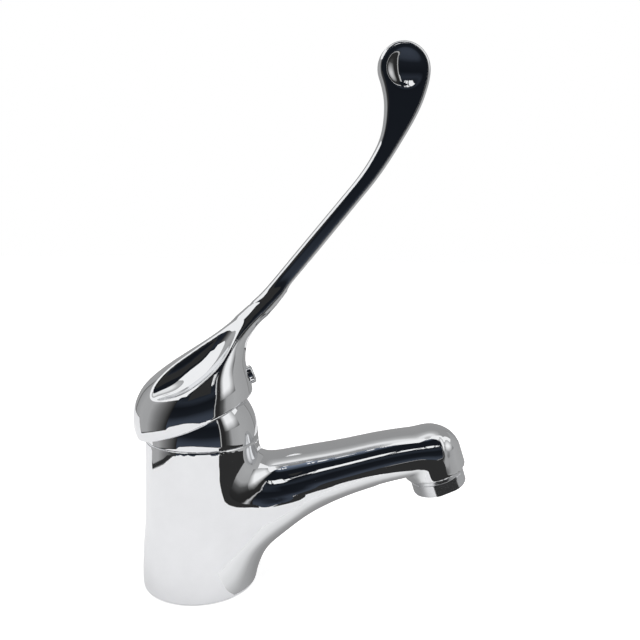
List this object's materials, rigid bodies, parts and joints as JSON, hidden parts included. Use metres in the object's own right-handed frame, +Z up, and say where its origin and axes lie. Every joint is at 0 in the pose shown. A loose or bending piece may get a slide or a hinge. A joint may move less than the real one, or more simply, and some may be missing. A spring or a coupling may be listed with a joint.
{
  "type": "basin mixer tap",
  "caption": "Single-lever basin mixer tap with a round column, a fixed spout, a domed cap with hollowed flanks and a long clinic lever ending in a round dimpled pad.",
  "frame": {"origin": "centre of the round base, on the plane where it stands on the basin", "axes": "+Z up along the column, +X toward the spout, +Y across"},
  "size_m": [0.1603, 0.0538, 0.2517],
  "materials": {
    "chrome": "polished",
    "ring_chrome": "fine matt",
    "raw_brass": "turned",
    "seal_rubber": "matt",
    "white_plastic": "moulded",
    "grey_plastic": "moulded",
    "ceramic": "lapped",
    "steel": "turned"
  },
  "bodies": {
    "tap": {"body": "chrome", "inlet_block": "raw_brass", "base_seal": "seal_rubber", "port_base": "white_plastic", "port_seals": "seal_rubber", "disc_seals": "seal_rubber", "fixed_ceramic_disc": "ceramic", "cartridge_housing": "white_plastic", "glide_ring": "white_plastic", "limit_ring": "grey_plastic", "cartridge_nut": "raw_brass", "shroud_o_ring": "seal_rubber", "shroud": "chrome", "aerator_housing": "ring_chrome", "jet_insert": "white_plastic", "inlet_screen": "white_plastic", "aerator_gasket": "seal_rubber"},
    "rotor": {"rotor": "grey_plastic", "spindle_pin": "steel"},
    "lever": {"handle": "chrome", "spindle": "raw_brass", "grub_screw": "steel", "handle_plug": "chrome"},
    "mixer": {"disc_carrier": "grey_plastic", "moving_ceramic_disc": "ceramic"}
  },
  "joints": [
    {"name": "handle_turn", "type": "hinge", "parent": "tap", "child": "rotor", "pos_m": [0.0015, 0, 0.0708], "axis": [0, 0, 1], "range_deg": [-50, 50]},
    {"name": "handle_lift", "type": "hinge", "parent": "rotor", "child": "lever", "pos_m": [0.0015, 0, 0.0708], "axis": [0, 1, 0], "range_deg": [0, 22]},
    {"name": "disc_slide", "type": "slide", "parent": "rotor", "child": "mixer", "axis": [1, 0, 0], "range_m": [-0.00532, 0]}
  ],
  "couplings": [
    {"joint": "disc_slide", "follows": "handle_lift", "m_per_rad": -0.01385}
  ]
}
